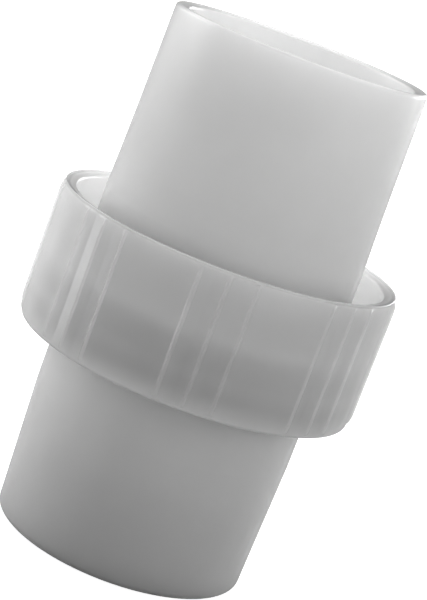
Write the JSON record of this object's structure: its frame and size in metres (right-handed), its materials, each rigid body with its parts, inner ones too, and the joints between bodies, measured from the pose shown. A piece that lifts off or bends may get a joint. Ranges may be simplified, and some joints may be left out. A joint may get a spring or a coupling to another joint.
{
  "type": "check valve",
  "caption": "In-line check valve with two tapered spigots, a ribbed cup-shaped collar and a spring-closed poppet inside.",
  "frame": {"origin": "centre of the outlet spigot's rim, the flat ring that the valve stands on", "axes": "+Z along the valve's axis from the outlet to the inlet, against the flow; a rib group's middle rib is 4 degrees from -Y towards +X"},
  "size_m": [0.0288, 0.0288, 0.0439],
  "materials": {
    "natural_body": "milky translucent natural plastic, satin",
    "natural_insert": "natural white plastic, satin",
    "seal_rubber": "pale silicone rubber, matt",
    "soft_seal": "translucent silicone rubber, matt",
    "spring_wire": "drawn stainless spring wire"
  },
  "bodies": {
    "housing": {"inlet_body": "natural_body", "outlet_body": "natural_body", "flange_gasket": "seal_rubber", "cartridge_sleeve": "natural_insert", "cartridge_o_ring": "seal_rubber", "guide_spider": "natural_insert", "closing_spring": "spring_wire"},
    "poppet": {"poppet": "natural_insert", "poppet_seal": "soft_seal", "seal_cap": "natural_insert"}
  },
  "joints": [
    {"name": "poppet_lift", "type": "slide", "parent": "housing", "child": "poppet", "axis": [0, 0, -1], "range_m": [0, 0.0032], "stiffness_N_per_m": 40, "springref_m": -0.003, "deforming": ["closing_spring"]}
  ]
}
